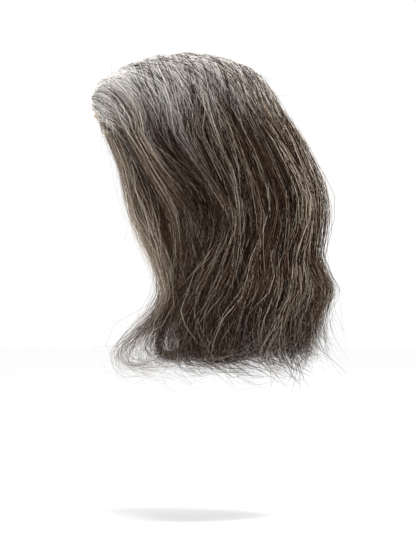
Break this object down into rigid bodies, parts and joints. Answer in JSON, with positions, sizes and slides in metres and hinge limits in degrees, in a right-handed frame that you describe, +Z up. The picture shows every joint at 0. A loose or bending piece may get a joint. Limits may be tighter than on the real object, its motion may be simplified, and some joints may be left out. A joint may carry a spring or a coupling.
{
  "type": "lace front wig",
  "caption": "Shoulder-length wavy ash brown and grey wig: a lace front and net cap open for the head, with overlapping sections of hair.",
  "frame": {"origin": "inside of the cap's crown, at the middle of the width, where it sits on top of the head", "axes": "+Z up, the face looks along -Y, and the wearer's left is +X"},
  "size_m": [0.2128, 0.2428, 0.3352],
  "materials": {
    "lace": "sheer knotted lace",
    "cap_net": "stretch net with sewn wefts",
    "nape_elastic": "ribbed elastic",
    "hair": "salt and pepper hair, soft sheen"
  },
  "bodies": {
    "root": {"lace_front": "lace", "cap_crown": "cap_net", "cap_sides": "cap_net", "nape_band": "nape_elastic", "hair_temple_left": "hair", "hair_temple_right": "hair", "hair_forelock_left": "hair", "hair_forelock_right": "hair", "hair_side_front_left": "hair", "hair_side_front_right": "hair", "hair_side_back_left": "hair", "hair_side_back_right": "hair", "hair_crown_left": "hair", "hair_crown_right": "hair", "hair_back_left": "hair", "hair_back_right": "hair"}
  },
  "joints": []
}
